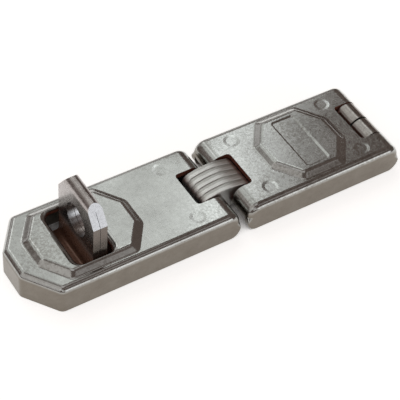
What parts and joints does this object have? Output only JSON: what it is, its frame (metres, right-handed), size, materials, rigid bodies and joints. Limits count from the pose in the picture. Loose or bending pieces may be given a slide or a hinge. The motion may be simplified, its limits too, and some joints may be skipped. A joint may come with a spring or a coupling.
{
  "type": "hasp lock",
  "caption": "Padlock hasp with pressed steel covers joined by a laminated link, hinged on a hidden base plate and dropped over a folded staple with an eye for the shackle.",
  "frame": {"origin": "middle of the hasp's length and width, on the face that lies on the door", "axes": "+X along the hasp from the staple to the base hinge, +Z away from the door"},
  "size_m": [0.155, 0.04, 0.034],
  "materials": {
    "plated_steel": "satin nickel plate on pressed steel",
    "staple_steel": "darker satin plate on hardened steel",
    "link_steel": "satin plate on blanked edges",
    "pin_steel": "bright drawn steel"
  },
  "bodies": {
    "base": {"base_plate": "plated_steel", "staple": "staple_steel", "staple_foot_left": "staple_steel", "staple_foot_right": "staple_steel"},
    "hinge_leaf": {"hinge_cover": "plated_steel", "hinge_link_pin": "pin_steel", "base_pin": "pin_steel"},
    "link": {"link_plate_1": "link_steel", "link_plate_2": "link_steel", "link_plate_3": "link_steel", "link_plate_4": "link_steel", "link_plate_5": "link_steel"},
    "hasp_leaf": {"hasp_cover": "plated_steel", "hasp_link_pin": "pin_steel"}
  },
  "joints": [
    {"name": "leaf_swing", "type": "hinge", "parent": "base", "child": "hinge_leaf", "pos_m": [0.0725, 0, 0.0065], "axis": [0, 1, 0], "range_deg": [0, 170]},
    {"name": "link_swing", "type": "hinge", "parent": "hinge_leaf", "child": "link", "pos_m": [0.01368, 0, 0.0065], "axis": [0, 1, 0], "range_deg": [0, 55]},
    {"name": "hasp_swing", "type": "hinge", "parent": "link", "child": "hasp_leaf", "pos_m": [0.00058, 0, 0.0065], "axis": [0, 1, 0], "range_deg": [0, 95]}
  ]
}
